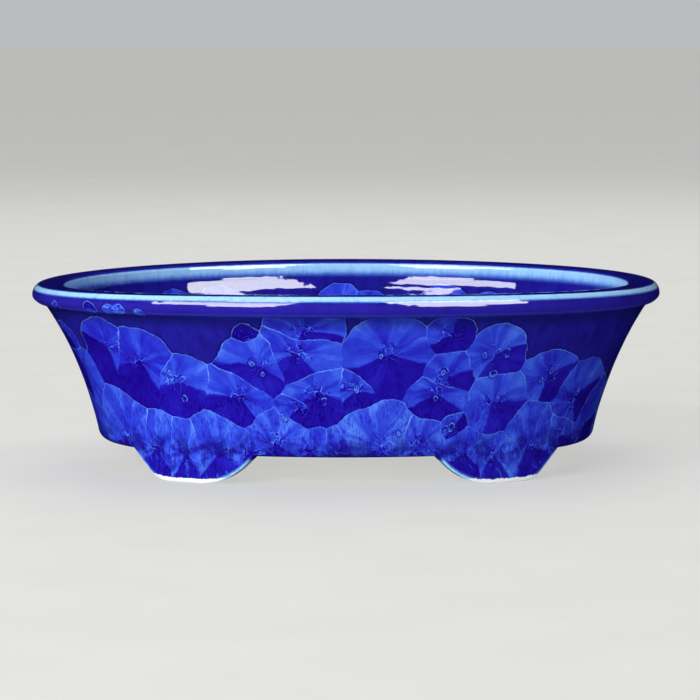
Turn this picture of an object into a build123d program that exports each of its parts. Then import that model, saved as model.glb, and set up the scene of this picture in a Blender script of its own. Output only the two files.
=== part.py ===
from build123d import *
import math
import os

# Oval bonsai pot, in millimetres. +X runs along the length, +Z is up, and the origin is on the
# ground under the middle of the pot. Every ring of the pot has one cross-section, drawn as points
# (inset, z), where inset is the distance inwards from the widest line of the lip.

# Overall size
POT_LENGTH = 250.0
POT_WIDTH = 200.0
POT_HEIGHT = 75.0
END_RADIUS = 94.0        # plan radius of the two ends; the radius of the two sides follows from it

# Heights
FOOT_HEIGHT = 11.0
FLOOR_THICKNESS = 7.0
FLOOR_TOP = FOOT_HEIGHT + FLOOR_THICKNESS
LIP_BASE = 66.0

# Lip section: from the inner foot up, over the top and down the outer face, which rolls under
LIP_OVERHANG = 5.2       # lip stands out this far past the top of the wall
LIP_INNER_INSET = 13.3
LIP_INNER_TOP = (12.9, 72.2)
LIP_INNER_TURN = (12.5, 73.4)
LIP_TOP_INNER = (11.4, 73.9)
LIP_SHOULDER_RADIUS = 3.4
LIP_ROLL_END = (1.4, 67.9)
LIP_ROLL_TURN = (2.0, 67.3)
LIP_UNDER_CORNER = (2.9, 66.9)

# Wall section
WALL_WAIST = (18.1, 40.0)
WALL_FOOT = (26.1, 14.0)  # where the outside turns under
TURN_UNDER = (30.0, FOOT_HEIGHT)
WALL_INSIDE_WAIST = (24.4, 42.0)
WALL_INSIDE_FOOT = (30.6, 25.0)
COIL_MIDDLE = (32.9, 20.3)
FLOOR_INSET = 38.0        # where the inner corner runs out on the floor

# Feet: pieces of a low ring under the wall. Each end of a foot slopes down from the pot, in line
# with the wall's thickness there, and rounds onto the ground.
FOOT_OUTER_INSET = 25.4
FOOT_INNER_INSET = 33.0
FOOT_INNER_LEAN = 1.5     # inner face leans in this far from the ground to the pot
FOOT_EDGE_ROUND = 0.8
FOOT_EDGE_LEAN = 0.05
FRONT_END_X = 35.6        # plan distance from the middle, where the slope meets the pot
FRONT_END_TOP_Z = 11.0
FRONT_END_SLOPE = 45.0    # degrees from the ground
FRONT_END_ROUND = 26.0
SIDE_END_X = 84.4
SIDE_END_TOP_Z = 13.0
SIDE_END_SLOPE = 40.0
SIDE_END_ROUND = 14.0
END_LEAN = 4.0            # degrees the wall turns from the top of a slope to its middle

# Holes in the floor
DRAIN_SPACING = 90.0
DRAIN_RADIUS = 11.0
WIRE_HOLE_SPACING_X = 110.0
WIRE_HOLE_SPACING_Y = 52.0
WIRE_HOLE_RADIUS = 2.5

# Drain screens: plastic mesh squares
MESH_PITCH = 3.0
MESH_STRAND = 0.9
MESH_OPENINGS = 13
SCREEN_THICKNESS = 1.2

# Screen clips: one bent wire each, down through the mesh and out under the floor
CLIP_WIRE_RADIUS = 0.75
CLIP_LEG_X = 3 * MESH_PITCH
CLIP_TOE_X = 17.0
CLIP_BEND_RADIUS = 1.2
CLIP_GAP = 0.05           # air between the wire and the faces it lies on


def side_radius():
    """Radius of the long sides, which makes them run smoothly into the ends."""
    a = POT_LENGTH / 2
    b = POT_WIDTH / 2
    r = END_RADIUS
    return ((a - r) ** 2 + b ** 2 - r ** 2) / (2 * (b - r))


END_CENTRE_X = POT_LENGTH / 2 - END_RADIUS
SIDE_RADIUS = side_radius()
SIDE_CENTRE_Y = SIDE_RADIUS - POT_WIDTH / 2
JOIN_ANGLE = math.degrees(math.atan2(SIDE_CENTRE_Y, END_CENTRE_X))


def arc_sectors():
    """The oval's four arcs: plan centre, radius, start angle and sweep in degrees."""
    side_sweep = 180.0 - 2 * JOIN_ANGLE
    return [
        ((END_CENTRE_X, 0.0), END_RADIUS, -JOIN_ANGLE, 2 * JOIN_ANGLE),
        ((0.0, -SIDE_CENTRE_Y), SIDE_RADIUS, JOIN_ANGLE, side_sweep),
        ((-END_CENTRE_X, 0.0), END_RADIUS, 180.0 - JOIN_ANGLE, 2 * JOIN_ANGLE),
        ((0.0, SIDE_CENTRE_Y), SIDE_RADIUS, 180.0 + JOIN_ANGLE, side_sweep),
    ]


def line(start, end):
    return ("line", start, end)


def arc(start, middle, end):
    return ("arc", start, middle, end)


def arc_leaving(start, direction, end):
    """An arc from start to end that leaves start in the given direction."""
    return ("arc_leaving", start, direction, end)


def section_face(steps, radius):
    """A closed section in the XZ plane, its insets measured inwards from the radius."""
    edges = []
    for kind, *points in steps:
        placed = [Vector(radius - inset, 0.0, z) for inset, z in points]
        if kind == "line":
            edges.append(Edge.make_line(*placed))
        elif kind == "arc":
            edges.append(Edge.make_three_point_arc(*placed))
        else:
            start, _, end = placed
            direction = Vector(-points[1][0], 0.0, points[1][1])
            edges.append(Edge.make_tangent_arc(start, direction, end))
    return Face(Wire(edges))


def oval_ring(steps):
    """The section carried round the whole oval."""
    ring = None
    for (cx, cy), radius, start, sweep in arc_sectors():
        face = section_face(steps, radius)
        sector = Solid.revolve(face, sweep, Axis.Z)
        sector = Pos(cx, cy, 0) * Rot(0, 0, start) * sector
        ring = sector if ring is None else ring + sector
    return ring


def oval_plate(inset, bottom, top):
    """A flat plate inside the oval, its edge at the given inset."""
    edges = []
    for (cx, cy), radius, start, sweep in arc_sectors():
        edge = Edge.make_circle(radius - inset, start_angle=start, end_angle=start + sweep)
        edges.append(Pos(cx, cy, bottom) * edge)
    face = Face(Wire(edges))
    return Solid.extrude(face, Vector(0, 0, top - bottom))


def make_lip():
    """Rounded lip: the top slopes slightly inwards, and the outer face rolls under to the wall."""
    inner_low = (LIP_INNER_INSET, LIP_BASE)
    shoulder = (LIP_SHOULDER_RADIUS, POT_HEIGHT)
    widest = (0.0, POT_HEIGHT - LIP_SHOULDER_RADIUS)
    crease = (LIP_OVERHANG, LIP_BASE)
    return oval_ring([
        line(inner_low, LIP_INNER_TOP),
        arc(LIP_INNER_TOP, LIP_INNER_TURN, LIP_TOP_INNER),
        arc_leaving(shoulder, (1, 0), LIP_TOP_INNER),
        arc_leaving(shoulder, (-1, 0), widest),
        arc_leaving(widest, (0, -1), LIP_ROLL_END),
        arc(LIP_ROLL_END, LIP_ROLL_TURN, LIP_UNDER_CORNER),
        line(LIP_UNDER_CORNER, crease),
        line(crease, inner_low),
    ])


def make_wall():
    """Flared wall standing on the floor slab, thickened by a coil in the inner corner."""
    outer_top = (LIP_OVERHANG, LIP_BASE)
    outer_foot = wall_outside_at(FLOOR_TOP)
    inner_top = (LIP_INNER_INSET, LIP_BASE)
    coil_end = (FLOOR_INSET, FLOOR_TOP)
    return oval_ring([
        arc(outer_top, wall_outside_at((LIP_BASE + FLOOR_TOP) / 2), outer_foot),
        line(outer_foot, coil_end),
        arc(coil_end, COIL_MIDDLE, WALL_INSIDE_FOOT),
        arc(WALL_INSIDE_FOOT, WALL_INSIDE_WAIST, inner_top),
        line(inner_top, outer_top),
    ])


def wall_outside_at(z):
    """Point of the outer wall arc at height z."""
    x1, z1 = LIP_OVERHANG, LIP_BASE
    x2, z2 = WALL_WAIST
    x3, z3 = WALL_FOOT
    d = 2 * (x1 * (z2 - z3) + x2 * (z3 - z1) + x3 * (z1 - z2))
    s1, s2, s3 = x1 ** 2 + z1 ** 2, x2 ** 2 + z2 ** 2, x3 ** 2 + z3 ** 2
    cx = (s1 * (z2 - z3) + s2 * (z3 - z1) + s3 * (z1 - z2)) / d
    cz = (s1 * (x3 - x2) + s2 * (x1 - x3) + s3 * (x2 - x1)) / d
    radius = math.hypot(x1 - cx, z1 - cz)
    return (cx + math.sqrt(radius ** 2 - (z - cz) ** 2), z)


def make_floor():
    """Base slab: its edge carries the wall line down, then rounds under."""
    edge_top = wall_outside_at(FLOOR_TOP)
    edge_middle = wall_outside_at((FLOOR_TOP + WALL_FOOT[1]) / 2)
    rim = oval_ring([
        arc(edge_top, edge_middle, WALL_FOOT),
        arc_leaving(TURN_UNDER, (-1, 0), WALL_FOOT),
        line(TURN_UNDER, (FLOOR_INSET, FOOT_HEIGHT)),
        line((FLOOR_INSET, FOOT_HEIGHT), (FLOOR_INSET, FLOOR_TOP)),
        line((FLOOR_INSET, FLOOR_TOP), edge_top),
    ])
    slab = rim + oval_plate(FLOOR_INSET, FOOT_HEIGHT, FLOOR_TOP)
    for side in (-1, 1):
        slab -= floor_hole(side * DRAIN_SPACING / 2, 0.0, DRAIN_RADIUS)
        for end in (-1, 1):
            x = side * WIRE_HOLE_SPACING_X / 2
            y = end * WIRE_HOLE_SPACING_Y / 2
            slab -= floor_hole(x, y, WIRE_HOLE_RADIUS)
    return slab


def floor_hole(x, y, radius):
    """A cutter for a round hole right through the floor."""
    middle = (FOOT_HEIGHT + FLOOR_TOP) / 2
    return Pos(x, y, middle) * Cylinder(radius, 2 * FLOOR_THICKNESS)


def slope_cutter(top_z, slope, corner_radius):
    """What is cleared beyond one end of a foot. X points into the foot, Y through the wall."""
    angle = math.radians(slope)
    round_z = corner_radius * (1 - math.cos(angle))
    round_x = (top_z - round_z) / math.tan(angle)
    ground_x = round_x + corner_radius * math.sin(angle)
    margin = 5.0
    above = FOOT_HEIGHT + margin
    above_x = (top_z - above) / math.tan(angle)
    below = -margin
    clear_length = 60.0
    clear_depth = 25.0
    outline = Wire([
        Edge.make_line((-clear_length, 0, above), (above_x, 0, above)),
        Edge.make_line((above_x, 0, above), (round_x, 0, round_z)),
        Edge.make_tangent_arc(
            (round_x, 0, round_z), (math.cos(angle), 0, -math.sin(angle)), (ground_x, 0, 0)),
        Edge.make_line((ground_x, 0, 0), (ground_x, 0, below)),
        Edge.make_line((ground_x, 0, below), (-clear_length, 0, below)),
        Edge.make_line((-clear_length, 0, below), (-clear_length, 0, above)),
    ])
    solid = Solid.extrude(Face(outline), Vector(0, 2 * clear_depth, 0))
    return Pos(0, -clear_depth, 0) * solid


def place_cutter(cutter, plan_arc, x, turn_by):
    """Stand a cutter on the foot's outer line at x, turned from the outward direction there."""
    (cx, cy), radius = plan_arc
    line_radius = radius - FOOT_OUTER_INSET
    y = cy - math.sqrt(line_radius ** 2 - (x - cx) ** 2)
    outward = math.degrees(math.atan2(y - cy, x - cx))
    return Pos(x, y, 0) * Rot(0, 0, outward + turn_by) * cutter


def make_feet():
    """Four feet: one is cut from a low ring that fits under the floor, and mirrored."""
    side_low = (FOOT_OUTER_INSET + FOOT_EDGE_LEAN, FOOT_EDGE_ROUND)
    corner_cut = FOOT_EDGE_ROUND * (1 - math.cos(math.radians(45)))
    corner = (FOOT_OUTER_INSET + FOOT_EDGE_LEAN + corner_cut, corner_cut)
    ground_out = (FOOT_OUTER_INSET + FOOT_EDGE_LEAN + FOOT_EDGE_ROUND, 0.0)
    ground_in = (FOOT_INNER_INSET, 0.0)
    top_in = (FOOT_INNER_INSET + FOOT_INNER_LEAN, FOOT_HEIGHT)
    ring = oval_ring([
        line(WALL_FOOT, side_low),
        arc(side_low, corner, ground_out),
        line(ground_out, ground_in),
        line(ground_in, top_in),
        line(top_in, TURN_UNDER),
        arc_leaving(TURN_UNDER, (-1, 0), WALL_FOOT),
    ])
    front_cut = slope_cutter(FRONT_END_TOP_Z, FRONT_END_SLOPE, FRONT_END_ROUND)
    front_arc = ((0.0, SIDE_CENTRE_Y), SIDE_RADIUS)
    front_cut = place_cutter(front_cut, front_arc, -FRONT_END_X, -90.0 - END_LEAN)
    side_cut = slope_cutter(SIDE_END_TOP_Z, SIDE_END_SLOPE, SIDE_END_ROUND)
    side_arc = ((-END_CENTRE_X, 0.0), END_RADIUS)
    side_cut = place_cutter(side_cut, side_arc, -SIDE_END_X, 90.0 + END_LEAN)
    pieces = (ring - front_cut - side_cut).solids()
    foot = min(pieces, key=lambda piece: piece.volume)
    right_foot = mirror(foot, about=Plane.YZ)
    return {
        "foot_front_left": foot,
        "foot_front_right": right_foot,
        "foot_back_left": mirror(foot, about=Plane.XZ),
        "foot_back_right": mirror(right_foot, about=Plane.XZ),
    }


def make_screen(x):
    """Square of square-holed mesh lying on the floor over one drain hole."""
    outer = MESH_OPENINGS * MESH_PITCH + MESH_STRAND
    opening = MESH_PITCH - MESH_STRAND
    with BuildPart() as screen:
        with BuildSketch():
            Rectangle(outer, outer)
            with GridLocations(MESH_PITCH, MESH_PITCH, MESH_OPENINGS, MESH_OPENINGS):
                Rectangle(opening, opening, mode=Mode.SUBTRACT)
        extrude(amount=SCREEN_THICKNESS)
    return Pos(x, 0, FLOOR_TOP) * screen.part


def make_clip(x):
    """Wire over the screen, its legs down the drain hole and its toes out under the floor."""
    bar_z = FLOOR_TOP + SCREEN_THICKNESS + CLIP_GAP + CLIP_WIRE_RADIUS
    toe_z = FOOT_HEIGHT - CLIP_GAP - CLIP_WIRE_RADIUS
    corners = [
        (x - CLIP_TOE_X, 0, toe_z),
        (x - CLIP_LEG_X, 0, toe_z),
        (x - CLIP_LEG_X, 0, bar_z),
        (x + CLIP_LEG_X, 0, bar_z),
        (x + CLIP_LEG_X, 0, toe_z),
        (x + CLIP_TOE_X, 0, toe_z),
    ]
    path = FilletPolyline(*corners, radius=CLIP_BEND_RADIUS)
    end_plane = Plane(origin=corners[0], z_dir=(1, 0, 0))
    return sweep(end_plane * Circle(CLIP_WIRE_RADIUS), path=path)


def write_nodes():
    nodes = {"lip": make_lip(), "wall": make_wall(), "floor": make_floor()}
    nodes.update(make_feet())
    for side_name, x in (("left", -DRAIN_SPACING / 2), ("right", DRAIN_SPACING / 2)):
        nodes[f"drain_screen_{side_name}"] = make_screen(x)
        nodes[f"screen_clip_{side_name}"] = make_clip(x)
    os.makedirs("parts", exist_ok=True)
    for name, shape in nodes.items():
        export_step(shape, f"parts/{name}.step")


write_nodes()
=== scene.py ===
import math

import bpy
import numpy as np
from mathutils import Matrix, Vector
from mathutils.geometry import delaunay_2d_cdt


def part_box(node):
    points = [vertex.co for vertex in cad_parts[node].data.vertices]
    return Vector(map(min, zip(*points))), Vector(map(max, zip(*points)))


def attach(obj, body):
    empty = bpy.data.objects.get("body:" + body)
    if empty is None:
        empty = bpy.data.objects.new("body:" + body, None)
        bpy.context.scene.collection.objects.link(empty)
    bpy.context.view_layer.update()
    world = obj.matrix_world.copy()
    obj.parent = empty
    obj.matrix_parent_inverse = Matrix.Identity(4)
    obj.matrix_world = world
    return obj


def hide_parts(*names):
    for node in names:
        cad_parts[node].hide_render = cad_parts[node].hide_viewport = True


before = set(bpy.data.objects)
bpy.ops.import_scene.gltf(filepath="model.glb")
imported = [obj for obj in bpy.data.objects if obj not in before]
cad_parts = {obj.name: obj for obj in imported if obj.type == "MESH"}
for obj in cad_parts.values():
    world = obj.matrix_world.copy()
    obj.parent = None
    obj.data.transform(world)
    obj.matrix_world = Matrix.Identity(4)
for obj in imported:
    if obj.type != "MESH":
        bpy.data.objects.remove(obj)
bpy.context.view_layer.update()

# Work is done in millimetres and turned into metres when a mesh is made. A section is drawn as
# (inset, z): inset runs inwards from the widest line of the lip. Angles go round the oval, from
# the middle of the back, counter-clockwise seen from above, and the front's middle is -90 degrees.
MM = 0.001
LIP_LOW, LIP_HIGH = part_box("lip")
LENGTH = (LIP_HIGH.x - LIP_LOW.x) / MM
WIDTH = (LIP_HIGH.y - LIP_LOW.y) / MM
HEIGHT = LIP_HIGH.z / MM
HALF_LENGTH = LENGTH / 2
BACK_MIDDLE = math.radians(-270)
FRONT_MIDDLE = math.radians(-90)

# ---------------- the oval and its section

SQUARENESS = -1.7            # how far the oval's corners fill out past an ellipse
STRETCH = (LENGTH - WIDTH) / 4
MEAN_REACH = (LENGTH + WIDTH) / 4 - SQUARENESS
MIDDLE_INSET = 15.0          # distances round the pot are measured on the oval at this inset
COLUMN_STEP = 0.74           # distance between columns of points round the pot

FOOT_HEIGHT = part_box("floor")[0].z / MM
FLOOR_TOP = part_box("floor")[1].z / MM
LIP_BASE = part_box("lip")[0].z / MM
LIP_SHOULDER = 3.4
LIP_SHOULDER_DROP = 4.6      # the shoulder rounds over from the top down to here
TOP_DISH = 0.005             # the lip's top falls by this times the square of the run inwards
LIP_INNER = 13.3
LIP_TOP_INNER = 10.9         # inset where the lip's top turns down
LIP_FACE_LOW = 68.9          # the lip's face turns in from here to the small roll under it
ROLL_END = (1.4, 67.9)
ROLL_TURN = (1.95, 67.2)
UNDER_LIP = (2.9, 66.9)
LIP_INSIDE_TURN = (12.9, 74.3)
LIP_INSIDE_HIGH = (12.93, 71.9)
LIP_INSIDE_LOW = (13.15, 69.0)
WALL_WAIST = (18.1, 40.0)
WALL_FOOT = (26.1, 14.0)
INSIDE_WAIST = (24.4, 42.0)
INSIDE_FOOT = (30.6, 25.0)
INSIDE_HIGH = 62.5           # the wall's inside bends into the lip from here
COIL_TOP = 26.5              # the inside corner is filled from here down to the floor
COIL_TURN = (31.6, 18.3)
CREASE_LOW = 64.6            # glaze fills the crease down to here
TURN_UNDER = (30.0, FOOT_HEIGHT)
COIL_END = (38.0, FLOOR_TOP)
FOOT_OUTER = 25.42
FOOT_INNER = 33.0
FOOT_INNER_LEAN = 1.5        # a foot's inner face leans in this far from the ground to the slab
FOOT_TOP_LEAN = 0.10         # how a foot's outer face leaves the wall's line, as a slope
FOOT_FLARE = 0.05            # and how it meets the ground
WAVE_DEPTH = 0.10            # the thrown wall isn't perfectly even
RIM_SAG = (2.4, 1.5)         # how far the lip's left and right ends sank in the kiln
SAG_FROM = 35.0              # height from which the wall sank with them


def plan_point(angle, inset):
    """X and Y of the oval at an angle and inset."""
    reach = MEAN_REACH + STRETCH * np.cos(2 * angle) + SQUARENESS * np.cos(4 * angle)
    slope = -2 * STRETCH * np.sin(2 * angle) - 4 * SQUARENESS * np.sin(4 * angle)
    outward = reach - inset
    x = np.cos(angle) * outward - np.sin(angle) * slope
    y = np.sin(angle) * outward + np.cos(angle) * slope
    return x, y


def run_at(angle, inset=MIDDLE_INSET):
    """Distance round the oval from the front's middle."""
    def run(a):
        return ((MEAN_REACH - inset) * a - 1.5 * STRETCH * np.sin(2 * a)
                - 3.75 * SQUARENESS * np.sin(4 * a))
    return run(angle) - run(FRONT_MIDDLE)


FINE_COUNT = 4001            # how finely distances and angles are matched up
FINE_ANGLES = np.linspace(BACK_MIDDLE, BACK_MIDDLE + 2 * math.pi, 20001)
FINE_RUNS = run_at(FINE_ANGLES)
PERIMETER = FINE_RUNS[-1] - FINE_RUNS[0]


def angle_at(run):
    return np.interp(run, FINE_RUNS, FINE_ANGLES)


def angle_at_x(x, inset):
    """Angle on the front half of the oval where it reaches x."""
    half = np.linspace(math.radians(-180), 0.0, FINE_COUNT)
    return float(np.interp(x, plan_point(half, inset)[0], half))


def straight(start, end, count):
    t = np.linspace(0, 1, count)[:, None]
    return np.array(start) * (1 - t) + np.array(end) * t


def bend(start, corner, end, count):
    """A rounded corner."""
    t = np.linspace(0, 1, count)[:, None]
    start, corner, end = map(np.array, (start, corner, end))
    return start * (1 - t) ** 2 + corner * 2 * t * (1 - t) + end * t ** 2


def circle_through(a, b, c):
    """Centre and radius of the circle through three points."""
    (ax, ay), (bx, by), (cx, cy) = a, b, c
    d = 2 * (ax * (by - cy) + bx * (cy - ay) + cx * (ay - by))
    sa, sb, sc = ax ** 2 + ay ** 2, bx ** 2 + by ** 2, cx ** 2 + cy ** 2
    x = (sa * (by - cy) + sb * (cy - ay) + sc * (ay - by)) / d
    y = (sa * (cx - bx) + sb * (ax - cx) + sc * (bx - ax)) / d
    return (x, y), math.hypot(ax - x, ay - y)


def arc(centre, radius, start, end, count):
    """Circle arc between two points on it, the short way round."""
    first = math.atan2(start[1] - centre[1], start[0] - centre[0])
    last = math.atan2(end[1] - centre[1], end[0] - centre[0])
    t = np.linspace(first, first + math.remainder(last - first, 2 * math.pi), count)
    return np.stack([centre[0] + radius * np.cos(t), centre[1] + radius * np.sin(t)], 1)


def joined(*stretches):
    """Stretches end to end, without the repeated points."""
    return np.concatenate([stretches[0]] + [s[1:] for s in stretches[1:]])


CREASE = (5.2, LIP_BASE)
WALL_CENTRE, WALL_RADIUS = circle_through(CREASE, WALL_WAIST, WALL_FOOT)
INNER_CENTRE, INNER_RADIUS = circle_through((LIP_INNER, LIP_BASE), INSIDE_WAIST, INSIDE_FOOT)
TURN_RADIUS = ((TURN_UNDER[0] - WALL_FOOT[0]) ** 2 + (WALL_FOOT[1] - FOOT_HEIGHT) ** 2) / (
    2 * (WALL_FOOT[1] - FOOT_HEIGHT))
TURN_CENTRE = (TURN_UNDER[0], FOOT_HEIGHT + TURN_RADIUS)


def wall_outside(z):
    """Inset of the wall's outer face at a height."""
    return WALL_CENTRE[0] + np.sqrt(WALL_RADIUS ** 2 - (z - WALL_CENTRE[1]) ** 2)


def wall_inside(z):
    return INNER_CENTRE[0] + np.sqrt(INNER_RADIUS ** 2 - (z - INNER_CENTRE[1]) ** 2)


def foot_outside(z):
    """Inset of a foot's outer face: it carries the wall's line on, then flares to the ground."""
    t = np.linspace(0, 1, 60)
    start, end = WALL_FOOT[0], FOOT_OUTER
    h = WALL_FOOT[1]
    inset = (start * (1 + 2 * t) * (1 - t) ** 2 + end * t ** 2 * (3 - 2 * t)
             + FOOT_TOP_LEAN * h * t * (1 - t) ** 2 + FOOT_FLARE * h * t ** 2 * (1 - t))
    return np.interp(z, (h * (1 - t))[::-1], inset[::-1])


def turn_under(z):
    """Inset of the rounded edge under the slab at a height."""
    return TURN_CENTRE[0] - np.sqrt(np.maximum(TURN_RADIUS ** 2 - (z - TURN_CENTRE[1]) ** 2, 0))


CREASE_OUT = (4.0, 66.47)    # glaze fills the crease between these two points
CREASE_DOWN = (float(wall_outside(CREASE_LOW)), CREASE_LOW)
CREASE_BEND = bend(CREASE_OUT, CREASE, CREASE_DOWN, 9)
SEAM_OUT = CREASE_BEND[4]
INNER_LOW = (float(wall_inside(INSIDE_HIGH)), INSIDE_HIGH)
INNER_BEND = bend(INNER_LOW, (LIP_INNER, LIP_BASE), LIP_INSIDE_LOW, 13)
SEAM_IN = INNER_BEND[6]


def lip_section():
    """Round the lip: outer face from the shoulder to the crease, hidden joint, inside, top."""
    widest = (0.0, HEIGHT - LIP_SHOULDER_DROP)
    quarter = np.linspace(0, math.pi / 2, 21)
    top_run = np.linspace(LIP_TOP_INNER, LIP_SHOULDER, 24)
    top = np.stack([top_run, HEIGHT - TOP_DISH * (top_run - LIP_SHOULDER) ** 2], 1)
    shoulder = np.stack([LIP_SHOULDER * (1 - np.sin(quarter)),
                         widest[1] + LIP_SHOULDER_DROP * np.cos(quarter)], 1)
    outer = joined(
        shoulder,
        bend(widest, (0.0, LIP_FACE_LOW), ROLL_END, 8),
        bend(ROLL_END, ROLL_TURN, UNDER_LIP, 7),
        straight(UNDER_LIP, CREASE_OUT, 3),
        CREASE_BEND[:5])
    hidden = straight(SEAM_OUT, SEAM_IN, 4)
    inside = joined(
        INNER_BEND[6:],
        straight(INNER_BEND[-1], LIP_INSIDE_HIGH, 6),
        bend(LIP_INSIDE_HIGH, LIP_INSIDE_TURN, tuple(top[0]), 9))
    return [outer, hidden, inside, top]


def wall_section():
    """Round the wall: outside from the crease to the slab, hidden joint, inside, hidden joint."""
    foot = (float(wall_outside(FLOOR_TOP)), FLOOR_TOP)
    outer = joined(
        CREASE_BEND[4:], arc(WALL_CENTRE, WALL_RADIUS, CREASE_DOWN, foot, 58))
    hidden_low = straight(foot, COIL_END, 4)
    coil_start = (float(wall_inside(COIL_TOP)), COIL_TOP)
    inside = joined(
        bend(COIL_END, COIL_TURN, coil_start, 16),
        arc(INNER_CENTRE, INNER_RADIUS, coil_start, INNER_LOW, 25),
        INNER_BEND[:7])
    hidden_top = straight(SEAM_IN, SEAM_OUT, 4)
    return [outer, hidden_low, inside, hidden_top]


def rim_section():
    """Edge of the slab, from its top under the wall, round and under."""
    foot = (float(wall_outside(FLOOR_TOP)), FLOOR_TOP)
    hidden = straight(COIL_END, foot, 4)
    outer = joined(
        arc(WALL_CENTRE, WALL_RADIUS, foot, WALL_FOOT, 9),
        arc(TURN_CENTRE, TURN_RADIUS, WALL_FOOT, TURN_UNDER, 12))
    under = straight(TURN_UNDER, (COIL_END[0], FOOT_HEIGHT), 6)
    return [hidden, outer, under]


def path_lengths(points, start=0.0, end=None):
    """Distance along a path at each of its points, counted on from start or up to end."""
    steps = np.hypot(*np.diff(points, axis=0).T)
    lengths = np.concatenate([[0.0], np.cumsum(steps)])
    return start + lengths if end is None else end + lengths - lengths[-1]


# Distances down the section, w: nothing at the crease under the lip, growing down the outside,
# and below nothing over the lip and down the inside.
LIP_PARTS = lip_section()
WALL_PARTS = wall_section()
RIM_PARTS = rim_section()
LIP_OUTER_W = path_lengths(LIP_PARTS[0], end=0.0)
TOP_W = path_lengths(LIP_PARTS[3], end=LIP_OUTER_W[0])
LIP_INSIDE_W = path_lengths(LIP_PARTS[2], end=TOP_W[0])
WALL_OUTER_W = path_lengths(WALL_PARTS[0])
WALL_INSIDE_W = path_lengths(WALL_PARTS[2], end=LIP_INSIDE_W[0])
RIM_OUTER_W = path_lengths(RIM_PARTS[1], WALL_OUTER_W[-1])
RIM_UNDER_W = path_lengths(RIM_PARTS[2], RIM_OUTER_W[-1])
FOOT_TOP_W = float(np.interp(-WALL_FOOT[1], -RIM_PARTS[1][:, 1], RIM_OUTER_W))
FLOOR_CHART = 2000.0         # the pot's floor has its own places, kept far from the wall's


def place_outside(x, z):
    """(s, w) on the front, for a spot at x and height z on the outer wall, rim or foot."""
    inset = float(wall_outside(z)) if z > WALL_FOOT[1] else float(foot_outside(z))
    s = float(run_at(angle_at_x(x, inset)))
    outer_z = np.concatenate([WALL_PARTS[0][:, 1], [WALL_FOOT[1], 0.0]])
    outer_w = np.concatenate([WALL_OUTER_W, [FOOT_TOP_W, FOOT_TOP_W + WALL_FOOT[1]]])
    w = float(np.interp(-z, -outer_z, outer_w))
    return s, w


# ---------------- crystals in the glaze

# Front of the pot: where each crystal began (x, height), how far it grew, which way its dark
# side (painted shade) faces in degrees from straight down (to the right is positive), half the
# dark side's spread in degrees, and how bright it is.
FRONT_CRYSTALS = [
    (16.5, 52.2, 18.0, 5, 72, 0.52),
    (-18.0, 52.6, 17.2, -15, 55, 0.55),
    (-15.5, 62.0, 14.8, 20, 55, 0.52),
    (-37.5, 59.0, 6.0, 60, 170, 0.40),
    (-33.0, 47.5, 15.5, -20, 72, 0.58),
    (-40.5, 34.5, 14.0, -30, 62, 0.52),
    (-11.0, 37.0, 14.5, 15, 62, 0.56),
    (-17.5, 31.0, 10.0, 20, 64, 0.46),
    (3.0, 38.0, 10.0, 30, 60, 0.54),
    (39.0, 59.5, 10.0, 50, 110, 0.42),
    (38.5, 43.5, 12.0, 55, 42, 0.55),
    (35.0, 36.0, 12.5, -5, 55, 0.50),
    (57.0, 52.0, 12.5, 40, 66, 0.60),
    (57.0, 32.0, 13.5, 38, 58, 0.58),
    (78.0, 41.5, 11.5, 50, 66, 0.50),
    (88.5, 31.0, 13.5, 70, 50, 0.45),
    (-79.0, 46.5, 17.0, -25, 58, 0.43),
    (-92.0, 52.0, 14.0, -60, 60, 0.42),
    (-64.5, 39.5, 13.0, 0, 76, 0.60),
    (-103.0, 42.0, 12.0, -70, 70, 0.45),
    (-108.0, 53.0, 9.0, -40, 80, 0.35),
    # lower row
    (-98.0, 17.0, 12.0, 0, 40, 0.45),
    (-84.0, 16.0, 17.0, -35, 45, 0.58),
    (-73.0, 13.0, 13.5, 0, 40, 0.62),
    (-61.0, 11.0, 12.5, 0, 40, 0.68),
    (-48.0, 13.0, 15.5, 0, 45, 0.66),
    (-36.0, 11.0, 12.0, 20, 45, 0.58),
    (-26.5, 17.0, 14.5, 0, 45, 0.66),
    (-13.0, 14.0, 10.0, 0, 45, 0.60),
    (-2.0, 14.0, 9.5, 0, 45, 0.58),
    (12.5, 16.0, 17.5, 0, 45, 0.74),
    (27.5, 15.0, 13.5, 0, 45, 0.64),
    (40.5, 22.0, 6.5, 60, 90, 0.50),
    (45.0, 12.0, 11.5, 0, 45, 0.58),
    (57.0, 11.0, 11.0, 0, 45, 0.66),
    (71.0, 15.0, 16.0, 15, 45, 0.62),
    (83.0, 16.0, 13.0, 30, 45, 0.52),
    (93.5, 20.0, 11.5, 40, 60, 0.40),
]
# Small rings left near where crystals began (x, height, radius)
FRONT_RINGS = [
    (-61.7, 32.6, 1.5), (52.8, 50.6, 1.5), (61.7, 51.9, 1.9), (75.1, 40.0, 1.6),
    (80.6, 41.2, 1.5), (3.9, 38.9, 1.8), (-36.0, 48.0, 1.4), (-31.5, 44.0, 1.2),
    (-67.0, 43.0, 1.3), (-87.3, 54.0, 2.1), (40.0, 22.5, 2.0), (37.0, 45.0, 1.3),
    (56.0, 43.0, 1.7), (-40.0, 33.5, 1.5), (-9.0, 33.0, 1.9), (13.5, 51.5, 1.2),
    (-21.5, 55.0, 1.6), (34.5, 34.0, 1.4), (-23.0, 26.0, 1.0), (20.0, 20.0, 1.1),
]
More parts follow.
